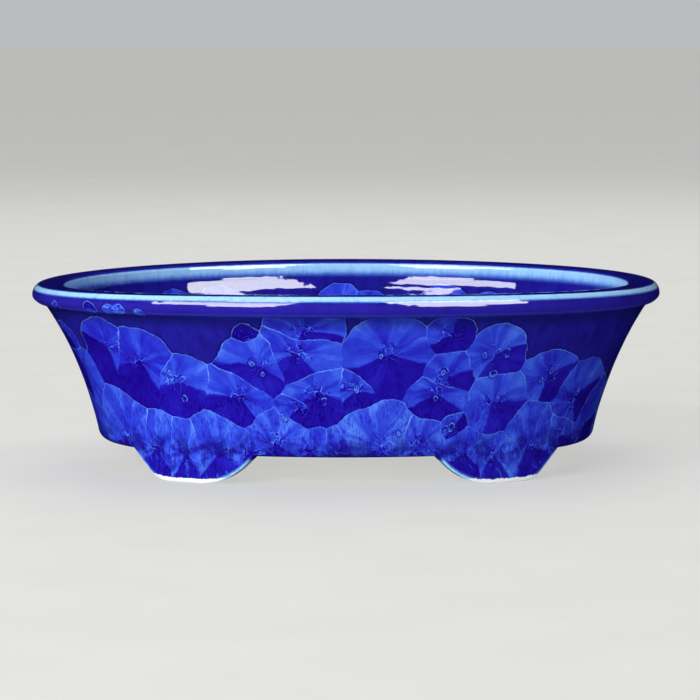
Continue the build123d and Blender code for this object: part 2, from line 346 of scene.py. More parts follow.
# On the lip's outer face: distance round from the front's middle, distance above the crease, and
# the crystal's radius, dark side (painted shade), its spread, and brightness
LIP_CRYSTALS = [
    (-114.5, 4.6, 2.4, 20, 60, 0.35), (-95.0, 5.4, 2.9, 160, 130, 0.40),
    (-86.5, 5.0, 2.9, 90, 20, 0.75), (-82.5, 5.2, 2.9, 90, 20, 0.80),
    (-74.5, 3.9, 2.2, 90, 20, 0.75)]
FRONT_SPREAD = (-165.0, 150.0)   # the stretch of the pot that the first list covers

# Crystals begun at random elsewhere: how far apart, and ranges of the radius, the way the dark
# side (painted shade) faces, half its spread, and brightness
LOWER_ROW = dict(spacing=12.0, radius=(11.0, 17.0), turn=(-20, 20), bright=(0.5, 0.7))
UPPER_WALL = dict(spacing=19.0, radius=(10.0, 16.5), turn=(-50, 50), bright=(0.4, 0.65))
INSIDE_WALL = dict(spacing=17.0, radius=(8.0, 14.0), turn=(140, 220), bright=(0.35, 0.6))
POT_FLOOR = dict(spacing=17.0, radius=(8.0, 15.0), turn=(0, 360), bright=(0.35, 0.6))
HALF_SPREAD = (42, 68)
TRIES = 900
BACK_OVERLAP = 30.0          # crystals this near the back's middle also reach past it
RINGED_FROM = 7.0            # crystals larger than this may have rings near where they began
RING_STRAY = 3.0
RING_SIZES = (0.9, 1.9)


def scattered(random, s_range, w_range, spacing, radius, turn, bright):
    """Crystals begun at random, no two closer than the spacing."""
    found = []
    for _ in range(TRIES):
        s = random.uniform(*s_range)
        w = random.uniform(*w_range)
        if all(math.hypot(s - other[0], w - other[1]) > spacing for other in found):
            found.append((s, w, random.uniform(*radius), random.uniform(*turn),
                          random.uniform(*HALF_SPREAD), random.uniform(*bright)))
    return found


def all_crystals():
    """Every crystal as (s, w, radius, turn, spread, brightness), the front's first."""
    random = np.random.default_rng(11)
    found = [place_outside(x, z) + tuple(traits) for x, z, *traits in FRONT_CRYSTALS]
    found += [(s, -up) + tuple(traits) for s, up, *traits in LIP_CRYSTALS]
    half = PERIMETER / 2
    foot_line = float(WALL_OUTER_W[-1])
    for s_range in ((-half, FRONT_SPREAD[0]), (FRONT_SPREAD[1], half)):
        found += scattered(random, s_range, (foot_line - 2, foot_line + 6), **LOWER_ROW)
        found += scattered(random, s_range, (8.0, foot_line - 16), **UPPER_WALL)
    inside_low, inside_high = float(WALL_INSIDE_W[0]), float(WALL_INSIDE_W[-1])
    found += scattered(random, (-half, half), (inside_low, inside_high - 10), **INSIDE_WALL)
    reach = HALF_LENGTH - COIL_END[0]
    across = (FLOOR_CHART - reach, FLOOR_CHART + reach)
    found += scattered(random, across, across, **POT_FLOOR)
    wrapped = [(crystal[0] - math.copysign(PERIMETER, crystal[0]),) + tuple(crystal[1:])
               for crystal in found if half - BACK_OVERLAP < abs(crystal[0]) < half + 1]
    return np.array(found + wrapped)


def all_rings(crystals):
    """Ring marks as (s, w, radius): the front's, and up to two near each other large crystal."""
    random = np.random.default_rng(5)
    found = [place_outside(x, z) + (r,) for x, z, r in FRONT_RINGS]
    for s, w, grown, *_ in crystals[len(FRONT_CRYSTALS):]:
        if grown > RINGED_FROM:
            for _ in range(random.integers(0, 3)):
                found.append((s + random.normal(0, RING_STRAY), w + random.normal(0, RING_STRAY),
                              random.uniform(*RING_SIZES)))
    return np.array(found)


CRYSTALS = all_crystals()
RINGS = all_rings(CRYSTALS)
NEAREST = 3                  # how many crystals each face is told of
LIP_CRYSTALS_END = -1.6      # no crystal grows past here, down the wall or up the lip


def crystal_attributes(s, w):
    """For faces at these places: the crystals that reach closest, with their traits, and a ring."""
    s, w = s[:, None], w[:, None]
    edge = np.hypot(s - CRYSTALS[:, 0], w - CRYSTALS[:, 1]) - CRYSTALS[:, 2]
    across_crease = (w < LIP_CRYSTALS_END) != (CRYSTALS[:, 1] < LIP_CRYSTALS_END)
    edge = edge + 1000 * across_crease
    order = np.argsort(edge, axis=1)[:, :NEAREST]
    found = {}
    for k in range(NEAREST):
        chosen = CRYSTALS[order[:, k]]
        found[f"crystal_{k + 1}"] = chosen[:, :3]
        turn, spread = np.radians(chosen[:, 3]), np.radians(chosen[:, 4])
        found[f"traits_{k + 1}"] = np.stack([turn, np.cos(spread), chosen[:, 5]], 1)
    ring_gap = np.hypot(s - RINGS[:, 0], w - RINGS[:, 1])
    found["ring"] = RINGS[np.argmin(ring_gap, axis=1)]
    return found


# ---------------- meshes

def wave(angle, z):
    """Small unevenness of the thrown clay and the glaze on it."""
    return WAVE_DEPTH * (
        0.5 * np.sin(5 * angle + 0.11 * z) + 0.3 * np.sin(11 * angle - 0.21 * z + 1.0)
        + 0.2 * np.sin(23 * angle + 0.37 * z + 2.0))


def sag(x, z):
    """How far the pot's two ends sank in the kiln, drawing the wall below them down."""
    deepest = np.where(x < 0, RIM_SAG[0], RIM_SAG[1])
    share = np.maximum(z - SAG_FROM, 0) / (HEIGHT - SAG_FROM)
    return deepest * share ** 2 * (2 * x / LENGTH) ** 2


def smooth_step(low, high, value):
    """From 0 to 1, smoothly, as value goes from low to high."""
    t = np.clip((value - low) / (high - low), 0, 1)
    return t * t * (3 - 2 * t)


SHARP_ANGLE = math.radians(50)
GLAZED = -9.0                # well below nothing: no bare clay here
BARE = 9.0


def new_object(name, data):
    made = bpy.data.objects.new(name, data)
    bpy.context.scene.collection.objects.link(made)
    return made


class Skin:
    """A mesh being put together: points in millimetres, faces, and what the glaze is told."""

    def __init__(self):
        self.points = []
        self.faces = []
        self.places = []         # (s, w) for each corner of each face
        self.thin = []           # how thin the glaze is at each point
        self.bare = []           # above nothing where a point has no glaze
        self.count = 0

    def add_points(self, xyz, thin, bare):
        """Adds a list or grid of points, and gives back their numbers in the same shape."""
        xyz = np.asarray(xyz, float)
        shape = xyz.shape[:-1]
        self.points.append(xyz.reshape(-1, 3))
        self.thin.append(np.broadcast_to(thin, shape).ravel())
        self.bare.append(np.broadcast_to(bare, shape).ravel())
        index = self.count + np.arange(len(self.points[-1])).reshape(shape)
        self.count += index.size
        return index

    def add_faces(self, corners, places):
        self.faces += [tuple(int(i) for i in face) for face in corners]
        self.places.append(np.asarray(places, float).reshape(-1, 2))

    def add_grid(self, index, s, w, closed_columns=False, closed_rows=False, flip=False):
        """Quads over index[column, row], with the places given for one more where it closes."""
        columns, rows = index.shape
        c, r = np.meshgrid(np.arange(columns - (not closed_columns)),
                           np.arange(rows - (not closed_rows)), indexing="ij")
        c, r = c.ravel(), r.ravel()
        turns = [(c, r), (c, r + 1), (c + 1, r + 1), (c + 1, r)]
        if flip:
            turns = turns[::-1]
        corners = np.stack([index[a % columns, b % rows] for a, b in turns], 1)
        places = np.stack([np.stack([s[a], w[b]], 1) for a, b in turns], 1)
        self.add_faces(corners, places)

    def build(self, node, material):
        """The finished object, standing for its CAD node."""
        name = node + "_glazed"
        mesh = bpy.data.meshes.new(name)
        points = np.concatenate(self.points)
        mesh.from_pydata((points * MM).tolist(), [], self.faces)
        places = np.concatenate(self.places)
        sizes = np.array([len(face) for face in self.faces])
        starts = np.concatenate([[0], np.cumsum(sizes)[:-1]])
        centres = np.add.reduceat(places, starts, axis=0) / sizes[:, None]
        flat = np.zeros((len(places), 1))
        self.store(mesh, "place", "FLOAT_VECTOR", "CORNER", np.hstack([places, flat]))
        for key, values in crystal_attributes(centres[:, 0], centres[:, 1]).items():
            self.store(mesh, key, "FLOAT_VECTOR", "FACE", values)
        self.store(mesh, "thin", "FLOAT", "POINT", np.concatenate(self.thin))
        self.store(mesh, "bare", "FLOAT", "POINT", np.concatenate(self.bare))
        mesh.shade_smooth()
        mesh.set_sharp_from_angle(angle=SHARP_ANGLE)
        mesh.materials.append(material)
        made = new_object(name, mesh)
        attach(made, "root")
        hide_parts(node)

    @staticmethod
    def store(mesh, name, kind, domain, values):
        attribute = mesh.attributes.new(name, kind, domain)
        field = "vector" if kind == "FLOAT_VECTOR" else "value"
        attribute.data.foreach_set(field, np.asarray(values, np.float32).ravel())


COLUMNS = int(PERIMETER / COLUMN_STEP)
COLUMN_RUNS = -PERIMETER / 2 + PERIMETER * np.arange(COLUMNS + 1) / COLUMNS
COLUMN_ANGLES = angle_at(COLUMN_RUNS[:-1])


def ring_points(section):
    """Points of a section carried round the oval: an array by column and row."""
    angle = COLUMN_ANGLES[:, None]
    z = np.broadcast_to(section[:, 1], (COLUMNS, len(section)))
    inset = section[:, 0] + wave(angle, z)
    x, y = plan_point(angle, inset)
    return np.stack([x, y, z - sag(x, z)], 2)


# Heights on the lip between which its glaze thins out: where that starts and is full at the top,
# and where it fades and is gone lower down
THIN_OUTSIDE = ((74.85, 74.6), (73.7, 72.2))
THIN_INSIDE = ((74.0, 73.6), (72.2, 67.0))
ROLL_THIN_AND_HIGHLIGHT = 0.16             # thin glaze and painted highlight on the roll under the lip's face,
ROLL_MIDDLE = 67.6           # with the roll's height
ROLL_SPREAD = 0.8            # and how far from there the pale line reaches


def make_ring(node, parts, w_parts, thinness, material):
    """A glazed ring with a closed section, made of stretches that follow on from each other.

    A hidden stretch has no w of its own: it runs from the w before it to the w after it.
    """
    for i, part in enumerate(parts):
        if w_parts[i] is None:
            after = w_parts[(i + 1) % len(parts)]
            w_parts[i] = np.linspace(w_parts[i - 1][-1], after[0], len(part))
    section = np.concatenate([part[:-1] for part in parts])
    w = np.concatenate([part[:-1] for part in w_parts] + [w_parts[0][:1]])
    skin = Skin()
    index = skin.add_points(ring_points(section), thinness(section), GLAZED)
    skin.add_grid(index, COLUMN_RUNS, w, closed_columns=True, closed_rows=True)
    skin.build(node, material)


def lip_thinness(section):
    """How thin the glaze is round the lip: it runs off both upper edges and the roll below, partly a
    painted highlight.
    """
    inset, z = section.T
    outer_half = inset < (LIP_SHOULDER + LIP_INNER) / 2
    outside, inside = [
        (1 - smooth_step(full, top, z)) * smooth_step(gone, fading, z)
        for (top, full), (fading, gone) in (THIN_OUTSIDE, THIN_INSIDE)]
    # pale line on the roll: partly thin glaze, partly a painted highlight
    roll = ROLL_THIN_AND_HIGHLIGHT * np.exp(-((z - ROLL_MIDDLE) / ROLL_SPREAD) ** 2)
    return np.where(outer_half, np.maximum(outside, roll), inside)


def make_lip(material):
    w_parts = [LIP_OUTER_W, None, LIP_INSIDE_W, TOP_W]
    make_ring("lip", LIP_PARTS, w_parts, lip_thinness, material)


def make_wall(material):
    w_parts = [WALL_OUTER_W, None, WALL_INSIDE_W, None]
    make_ring("wall", WALL_PARTS, w_parts, lambda section: 0.0, material)


DRAIN_RADIUS = 11.0
WIRE_HOLE_RADIUS = 2.5
WIRE_HOLE_X = 55.0
WIRE_HOLE_Y = 26.0
HOLE_ROUND = 0.8
HOLE_THIN = 0.85             # the glaze is this thin inside a hole
HOLE_GLAZE_END = 3.5         # depth in a hole where the glaze ends
RIM_GLAZE_END = 31.5         # inset under the slab where the glaze ends
FLAT_STEP = 4.0              # distance between points on the slab's flat faces
EVEN_ROWS = 0.87             # rows of them stand this much closer, for even triangles
PLATE_MARGIN = 3.0           # and the room they leave at its rim
HOLE_MARGIN = 2.5            # and round a hole


def floor_holes():
    """For each hole in the floor: its centre, radius, and how many points go round it."""
    screen_low, screen_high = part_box("drain_screen_right")
    drain_x = (screen_low.x + screen_high.x) / 2 / MM
    holes = [(side * drain_x, 0.0, DRAIN_RADIUS, 96) for side in (-1, 1)]
    holes += [(side * WIRE_HOLE_X, end * WIRE_HOLE_Y, WIRE_HOLE_RADIUS, 40)
              for side in (-1, 1) for end in (-1, 1)]
    return holes


def near_hole(x, y, holes, margin):
    return any(math.hypot(x - hx, y - hy) < radius + margin for hx, hy, radius, _ in holes)


def add_plate(skin, z, loops, holes, upward, bare):
    """Flat face of the slab, inside its rim and round the holes. Loops are rings of points."""
    points = np.concatenate(skin.points)
    fixed = [index for loop in loops for index in loop]
    local = {index: i for i, index in enumerate(fixed)}
    flat = [Vector(points[i][:2]) for i in fixed]
    edges = [(local[loop[i]], local[loop[(i + 1) % len(loop)]])
             for loop in loops for i in range(len(loop))]
    half_x = HALF_LENGTH - COIL_END[0] - PLATE_MARGIN
    half_y = WIDTH / 2 - COIL_END[0] - PLATE_MARGIN
    extra = []
    for row, y in enumerate(np.arange(-HALF_LENGTH, HALF_LENGTH, FLAT_STEP * EVEN_ROWS)):
        for x in np.arange(-HALF_LENGTH, HALF_LENGTH, FLAT_STEP) + (row % 2) * FLAT_STEP / 2:
            inside = math.hypot(x / half_x, y / half_y) < 1
            if inside and not near_hole(x, y, holes, HOLE_MARGIN):
                extra.append((x, y))
    flat += [Vector(p) for p in extra]
    order = fixed + list(skin.add_points([(x, y, z) for x, y in extra], 0.0, bare))
    coords, _, faces, _, _, _ = delaunay_2d_cdt(flat, edges, [], 0, 1e-6)
    corners = []
    for face in faces:
        middle = sum((coords[i] for i in face), Vector((0, 0))) / len(face)
        if near_hole(*middle, holes, HOLE_ROUND * 0.5):
            continue
        turn = list(face) if upward else list(face)[::-1]
        corners.append([order[i] for i in turn])
    xy = np.concatenate(skin.points)[:, :2]
    places = np.concatenate([xy[face] for face in corners]) + FLOOR_CHART
    skin.add_faces(corners, places)


def add_hole(skin, hx, hy, radius, count):
    """A hole through the slab. Gives back its highest and lowest ring of points."""
    wide = radius + HOLE_ROUND
    high, low = FLOOR_TOP - HOLE_ROUND, FOOT_HEIGHT + HOLE_ROUND
    profile = joined(
        bend((wide, FLOOR_TOP), (radius, FLOOR_TOP), (radius, high), 6),
        straight((radius, high), (radius, low), 7),
        bend((radius, low), (radius, FOOT_HEIGHT), (wide, FOOT_HEIGHT), 6))
    turn = np.arange(count) * 2 * math.pi / count
    x = hx + np.cos(turn)[:, None] * profile[:, 0]
    y = hy + np.sin(turn)[:, None] * profile[:, 0]
    z = np.broadcast_to(profile[:, 1], x.shape)
    depth = FLOOR_TOP - profile[:, 1]
    thin = HOLE_THIN * smooth_step(0.0, 0.7, depth)
    index = skin.add_points(np.stack([x, y, z], 2), thin, depth - HOLE_GLAZE_END)
    down = FLOOR_CHART + hx + radius + depth
    round_it = FLOOR_CHART + hy + np.append(turn, 2 * math.pi) * radius
    skin.add_grid(index, round_it, down, closed_columns=True, flip=True)
    return index[:, 0], index[:, -1]


def make_floor(material):
    skin = Skin()
    hidden_w = np.linspace(WALL_OUTER_W[-1] - 5, WALL_OUTER_W[-1], len(RIM_PARTS[0]))
    section = joined(*RIM_PARTS)
    w = np.concatenate([hidden_w[:-1], RIM_OUTER_W, RIM_UNDER_W[1:]])
    bare = np.where(section[:, 1] < WALL_FOOT[1] + 1, section[:, 0] - RIM_GLAZE_END, GLAZED)
    bare = np.where(np.arange(len(section)) < len(RIM_PARTS[0]), GLAZED, bare)
    index = skin.add_points(ring_points(section), 0.0, bare)
    skin.add_grid(index, COLUMN_RUNS, w, closed_columns=True)
    holes = floor_holes()
    tops, unders = zip(*(add_hole(skin, *hole) for hole in holes))
    add_plate(skin, FLOOR_TOP, [index[:, 0], *tops], holes, True, GLAZED)
    add_plate(skin, FOOT_HEIGHT, [index[:, -1], *unders], holes, False, BARE)
    skin.build("floor", material)


FRONT_END = dict(slope=math.radians(45), rounding=26.0)
SIDE_END = dict(slope=math.radians(40), rounding=14.0)
FOOT_STEP = 0.42             # distance between a foot's columns of points
FOOT_EDGE = 0.9              # rounding of a foot's lower edges
EDGE_SHARE = 0.3             # and how much of the height it may take where the foot is low
FOOT_TIP = 0.02              # height left at a foot's tips
BARE_BAND = 1.8              # height of the unglazed band round a foot where it stands
BARE_EDGE = 0.35             # and of the one along the edges of its slopes
PALE_EDGE = (1.35, 1.1)      # height of the thin glaze on the edges of a foot's two slopes
PALE_SLOPE = 0.75            # how thin the glaze is on the slopes themselves
BARE_SOLE = 1.2              # the underside is unglazed where it is lower than this
# Heights of the underside between which the unglazed band narrows and later goes, and between
# which the slopes turn pale and the pale glaze later goes
BAND_NARROWS = (0.0, 2.6)
BAND_GOES = (7.5, 10.0)
BAND_CUT = 1.2               # more than is left of the band by then
PALE_STARTS = (0.5, 2.0)
PALE_GOES = (8.5, 10.6)
# Points of a foot's section, counted from the wall down the outside and back up the inside
UNDERSIDE_FROM = 22          # the middle of the outer corner
UNDERSIDE_TO = 38            # just past the inner corner
UNDER_SLAB_FROM = 45         # where the foot is joined to the slab


def end_height(distance, slope, rounding):
    """Height of a foot's underside at a distance in from its tip."""
    tip = WALL_FOOT[1]
    round_z = rounding * (1 - math.cos(slope))
    round_start = (tip - round_z) / math.tan(slope)
    ground = round_start + rounding * math.sin(slope)
    straight_z = tip - distance * math.tan(slope)
    back = np.clip(ground - distance, 0, rounding * math.sin(slope))
    curved_z = rounding - np.sqrt(rounding ** 2 - back ** 2)
    return np.where(distance < round_start, straight_z, curved_z)


def foot_section(low):
    """Closed section of a foot whose underside is at this height here."""
    top = WALL_FOOT[1]
    corner = min(FOOT_EDGE, EDGE_SHARE * (top - low))
    outer_z = np.linspace(top, low + corner, 20)
    outer = np.stack([foot_outside(outer_z), outer_z], 1)
    outer_edge = float(foot_outside(low))
    if low < FOOT_HEIGHT:
        inner_edge = FOOT_INNER + FOOT_INNER_LEAN * low / FOOT_HEIGHT
        inner_top = FOOT_HEIGHT
        top_inset = FOOT_INNER + FOOT_INNER_LEAN
    else:
        inner_edge = float(turn_under(low))
        inner_top = low
        top_inset = inner_edge
    inner_corner = min(FOOT_EDGE, EDGE_SHARE * (inner_top - low))
    inner_high = (inner_edge, low + inner_corner)
    arc_z = np.linspace(max(FOOT_HEIGHT, low), top, 9)
    arc_points = np.stack([turn_under(arc_z), arc_z], 1)
    return joined(
        outer,
        bend(outer[-1], (outer_edge, low), (outer_edge + corner, low), 7),
        straight((outer_edge + corner, low), (inner_edge - inner_corner, low), 8),
        bend((inner_edge - inner_corner, low), (inner_edge, low), inner_high, 5),
        straight(inner_high, (top_inset, inner_top), 7),
        straight((top_inset, inner_top), arc_points[0], 4),
        arc_points)[:-1]


def foot_columns(node, side, end):
    """For each column of a foot: its angle, how low it reaches, and how high its pale edge is."""
    low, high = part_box(node)
    near = min(abs(low.x), abs(high.x)) / MM
    far = max(abs(low.x), abs(high.x)) / MM
    inset = WALL_FOOT[0]
    inner_run = run_at(angle_at_x(near, inset), inset)
    outer_run = run_at(angle_at_x(far, inset), inset)
    runs = np.linspace(inner_run, outer_run, int((outer_run - inner_run) / FOOT_STEP))
    fine = np.linspace(FRONT_MIDDLE, 0.0, FINE_COUNT)
    angles = np.interp(runs, run_at(fine, inset), fine)
    lows = np.maximum(end_height(runs - inner_run, **FRONT_END),
                      end_height(outer_run - runs, **SIDE_END))
    lows = np.minimum(lows, WALL_FOOT[1] - FOOT_TIP)
    pale = np.where(runs - inner_run < outer_run - runs, *PALE_EDGE)
    if side < 0:
        angles = -math.pi - angles
    if end > 0:
        angles = -angles
    if angles[0] > angles[-1]:
        angles, lows, pale = angles[::-1], lows[::-1], pale[::-1]
    if angles[-1] > BACK_MIDDLE + 2 * math.pi:
        angles = angles - 2 * math.pi
    return angles, lows, pale


def foot_glaze(z, lift, pale):
    """How thin the glaze is at each point of a foot, and where it is bare."""
    above = z - lift
    row = np.arange(z.shape[1])
    bottom = (row > UNDERSIDE_FROM) & (row < UNDERSIDE_TO)
    band = BARE_EDGE + (BARE_BAND - BARE_EDGE) * (1 - smooth_step(*BAND_NARROWS, lift))
    band = band - BAND_CUT * smooth_step(*BAND_GOES, lift)
    bare = np.where(bottom, BARE_SOLE - lift, band - above)
    bare = np.where(row > UNDER_SLAB_FROM, GLAZED, bare)
    edge = np.exp(-(above / pale) ** 2)
    cut = bottom * smooth_step(*PALE_STARTS, lift)
    thin = np.clip(np.maximum(edge, PALE_SLOPE * cut), 0, 1)
    return thin * (1 - smooth_step(*PALE_GOES, lift)), bare


def make_foot(node, side, end, material):
    """A foot: side is -1 left or 1 right, end is -1 front or 1 back."""
    angles, lows, pale = foot_columns(node, side, end)
    sections = np.stack([foot_section(low) for low in lows])
    z = sections[:, :, 1]
    x, y = plan_point(angles[:, None], sections[:, :, 0] + wave(angles[:, None], z))
    thin, bare = foot_glaze(z, lows[:, None], pale[:, None])
    skin = Skin()
    index = skin.add_points(np.stack([x, y, z], 2), thin, bare)
    middle = sections[len(sections) // 2]
    w = FOOT_TOP_W + path_lengths(np.vstack([middle, middle[:1]]))
    s = run_at(angles)
    skin.add_grid(index, s, w, closed_rows=True)
    for column, turn in ((0, 1), (-1, -1)):
        places = [(s[column], place) for place in w[:-1]]
        skin.add_faces([index[column][::turn]], places[::turn])
    skin.build(node, material)


# ---------------- materials

def colour(red, green, blue):
    """A screen colour from 0 to 255 as a shader colour."""
    def linear(value):
        value /= 255
        return value / 12.92 if value <= 0.04045 else ((value + 0.055) / 1.055) ** 2.4
    return (linear(red), linear(green), linear(blue), 1.0)


def arithmetic(operation, swapped=False):
    """A method for + - or * on signals: it makes the node that works it out."""
    def method(self, other):
        values = (other, self) if swapped else (self, other)
        return self.recipe.calc(operation, *values)
    return method


class Signal:
    """What a shader node gives out."""

    def __init__(self, recipe, socket):
        self.recipe = recipe
        self.socket = socket

    __add__ = arithmetic("ADD")
    __radd__ = arithmetic("ADD", swapped=True)
    __sub__ = arithmetic("SUBTRACT")
    __rsub__ = arithmetic("SUBTRACT", swapped=True)
    __mul__ = arithmetic("MULTIPLY")

    def __abs__(self):
        return self.recipe.calc("ABSOLUTE", self)


class Recipe:
    """A node material, with a short call for each kind of node."""

    def __init__(self, name):
        self.material = bpy.data.materials.new(name)
        self.material.use_nodes = True
        self.tree = self.material.node_tree
        self.shader = self.tree.nodes["Principled BSDF"]

    def feed(self, socket, value):
        if isinstance(value, Signal):
            self.tree.links.new(value.socket, socket)
        else:
            socket.default_value = value

    def shade(self, **inputs):
        """Feed the shader: Base_Color=..., Roughness=... and so on."""
        for key, value in inputs.items():
            self.feed(self.shader.inputs[key.replace("_", " ")], value)

    def add(self, kind, inputs=(), output=0, **settings):
        """A new node. Inputs are values or signals, in order or by name."""
        node = self.tree.nodes.new("ShaderNode" + kind)
        for key, value in settings.items():
            setattr(node, key, value)
        for key, value in inputs.items() if isinstance(inputs, dict) else enumerate(inputs):
            self.feed(node.inputs[key], value)
        return Signal(self, node.outputs[output])

    def calc(self, operation, *values, clamp=False):
        return self.add("Math", values, operation=operation, use_clamp=clamp)

    def vector(self, operation, *values):
        output = "Value" if operation in ("LENGTH", "DOT_PRODUCT") else "Vector"
        return self.add("VectorMath", values, output, operation=operation)

    def scaled(self, vector, scale):
        return self.add("VectorMath", {0: vector, "Scale": scale}, operation="SCALE")

    def stretched(self, vector, x, y, z):
        return self.vector("MULTIPLY", vector, (x, y, z))

    def combined(self, x=0.0, y=0.0, z=0.0):
        return self.add("CombineXYZ", (x, y, z))

    def separated(self, vector):
        node = self.add("SeparateXYZ", (vector,)).socket.node
        return [Signal(self, output) for output in node.outputs]

    def attribute(self, name, output="Vector"):
        return self.add("Attribute", (), output, attribute_type="GEOMETRY", attribute_name=name)

    def position(self):
        """The place on the pot, in millimetres."""
        return self.scaled(self.add("TexCoord", output="Object"), 1 / MM)

    def noise(self, vector, scale=1.0, detail=2.0, roughness=0.5, output=0):
        return self.add("TexNoise", {"Vector": vector, "Scale": scale, "Detail": detail,
                                     "Roughness": roughness}, output)

    def shift(self, vector, scale):
        """A random shift at each place, as often one way as the other."""
        return self.vector("SUBTRACT", self.noise(vector, scale, output=1), (0.5, 0.5, 0.5))

    def step(self, low, high, value):
        """From 0 to 1, smoothly, as value goes from low to high."""
        return self.add("MapRange", (value, low, high, 0.0, 1.0), interpolation_type="SMOOTHSTEP")

    def mix(self, kind, factor, a, b):
        first, output = {"VECTOR": (4, 1), "RGBA": (6, 2)}[kind]
        return self.add("Mix", {0: factor, first: a, first + 1: b}, output, data_type=kind)

    def tint(self, shade, amount, red, green, blue):
        return self.mix("RGBA", amount, shade, colour(red, green, blue))

    def ramp(self, value, *stops):
        """Colours at stops: each is its place, then red, green and blue."""
        made = self.add("ValToRGB", (value,))
        elements = made.socket.node.color_ramp.elements
        while len(elements) < len(stops):
            elements.new(0.5)
        for element, (place, *shade) in zip(elements, stops):
            element.position = place
            element.color = colour(*shade)
        return made

    def bump(self, height, strength, distance):
        inputs = {"Strength": strength, "Distance": distance, "Height": height}
        self.shade(Normal=self.add("Bump", inputs))


class Glaze(Recipe):
    """Cobalt glaze full of zinc-silicate crystals, thin on the edges, and bare clay at the feet."""

    def __init__(self):
        super().__init__("crystal_glaze")
        self.place_on_pot()
        self.find_crystal()
        self.grow_fibres()
        crystal = self.tint(self.crystal_colour(), self.outline(), 120, 172, 253)
        shade = self.mix("RGBA", self.inside, self.plain_glaze(), crystal)
        shade = self.ring_marks(shade)
        shade = self.lip_shades(shade)
        shade = self.low_shades(shade)
        self.edges_and_clay(shade)

    def place_on_pot(self):
        """Where we are. Outlines wander a little, at two scales."""
        self.here = self.position()
        self.height = self.separated(self.here)[2]
        place = self.vector("ADD", self.attribute("place"), self.scaled(
            self.shift(self.here, 0.10), 4.5))
        self.place = self.vector("ADD", place, self.scaled(self.shift(self.here, 0.75), 0.7))
        self.around, self.down, _ = self.separated(self.place)

    def offset_from(self, spot):
        return self.stretched(self.vector("SUBTRACT", self.place, spot), 1.0, 1.0, 0.0)

    def find_crystal(self):
        """The crystal that reaches furthest past each point owns it."""
        first, second = None, None
        for k in range(1, NEAREST + 1):
            spot = self.attribute(f"crystal_{k}")
            away = self.offset_from(spot)
            traits = self.attribute(f"traits_{k}")
            reach = self.vector("LENGTH", away) - self.separated(spot)[2]
            if first is None:
                first, offset, trait, centre = reach, away, traits, spot
                continue
            taken = self.calc("LESS_THAN", reach, first)
            offset = self.mix("VECTOR", taken, offset, away)
            trait = self.mix("VECTOR", taken, trait, traits)
            centre = self.mix("VECTOR", taken, centre, spot)
            loser = self.calc("MAXIMUM", reach, first)
            first = self.calc("MINIMUM", reach, first)
            second = loser if second is None else self.calc("MINIMUM", second, loser)
        self.centre = centre
        self.grown = self.separated(centre)[2]
        self.turn, self.dark_edge, self.bright = self.separated(trait)
        self.distance = self.vector("LENGTH", offset)
        self.ray = self.vector("NORMALIZE", offset)
        # Low on the wall the crystals met before the glaze froze: no plain glaze is left there
        crowding = self.step(15.0, 30.0, self.down) * 10.0
        self.reach = first - crowding
        self.inside = self.step(0.12, -0.12, self.reach)
        self.gap = self.calc("MINIMUM", (second - first) * 0.5, self.reach * -1.0)

    def grow_fibres(self):
        """Fibres grow outwards from where the crystal began, in sectors of slightly different tone."""
        self.seed = self.vector("ADD", self.scaled(self.centre, 0.37), self.combined(
            z=self.distance * 0.03))
        rays = self.vector("ADD", self.scaled(self.ray, 12.0), self.seed)
        self.fine = self.noise(rays, 1.0, 4.0, 0.62)
        rays = self.vector("ADD", self.scaled(self.ray, 2.0), self.seed)
        self.coarse = self.noise(rays, 1.0, 1.0, 0.5)

    def crystal_tone(self):
        """How light a crystal is at each point, from 0 to 1, with painted sheen and painted shade."""
        # The dark side is a sector with crisp edges: painted shade on the fibres facing down
        axis = self.combined(self.calc("SINE", self.turn) * -1.0,
                             self.calc("COSINE", self.turn) * -1.0)
        facing = self.vector("DOT_PRODUCT", self.ray, axis)
        fine, coarse = self.fine - 0.5, self.coarse - 0.5
        lit = self.step(-0.04, 0.06, facing + self.dark_edge + (coarse * 0.55 + fine * 0.16))
        outwards = self.calc("DIVIDE", self.distance, self.grown, clamp=True)
        sector = self.step(0.42, 0.56, self.coarse) - 0.5
        patch = self.noise(self.here, 0.16) - 0.5
        hair = self.step(0.020, 0.004, abs(self.fine - 0.53))
        # lit: painted sheen on the fibres facing up, stronger towards the crystal's rim
        tone = 0.17 + lit * 0.33 + (self.bright - 0.5) * 0.7 + outwards * lit * 0.14
        tone = tone + sector * (0.06 + lit * 0.10) + fine * (0.14 + lit * 0.16)
        tone = tone + patch * 0.42 + hair * (0.16 - lit * 0.24)

        # The lower row hangs in upright fibres
        upright = self.noise(self.stretched(self.here, 1.0, 1.0, 0.10), 1.3, 3.0, 0.6)
        fringe = self.step(0.50, 0.66, upright) * self.step(30.0, 38.0, self.down)
        tone = tone - fringe * 0.20

        # Swirls close to where it began, light beside dark
        swirl = self.noise(self.vector("ADD", self.here, self.seed), 0.30, 0.8)
        swirl_light = self.step(0.022, 0.005, abs(swirl - 0.50))
        swirl_dark = self.step(0.036, 0.010, abs(swirl - 0.545))
        near = self.step(7.0, 2.0, self.distance)
        return tone - near * (0.06 + swirl_dark * 0.42) + swirl_light * near * 0.45

    def crystal_colour(self):
        return self.ramp(
            self.crystal_tone(), (0.00, 22, 4, 122), (0.22, 31, 15, 158), (0.45, 37, 38, 188),
            (0.70, 49, 74, 215), (1.00, 92, 142, 242))

    def outline(self):
        """Bright hairline where a crystal stopped growing, mostly on its upper side."""
        upper = self.step(0.10, 0.70, self.separated(self.ray)[1] * -1.0)
        between = self.step(0.26, 0.03, self.gap) * upper
        outer = self.step(0.34, 0.05, abs(self.reach)) * (0.55 + upper * 0.45)
        line = self.calc("MAXIMUM", between, outer)
        broken = self.step(0.30, 0.62, self.noise(self.here, 0.35))
        line = self.calc("MULTIPLY", line, 0.34 + broken * 0.62, clamp=True)
        return line * (1.0 - self.step(42.0, 52.0, self.down) * 0.7)

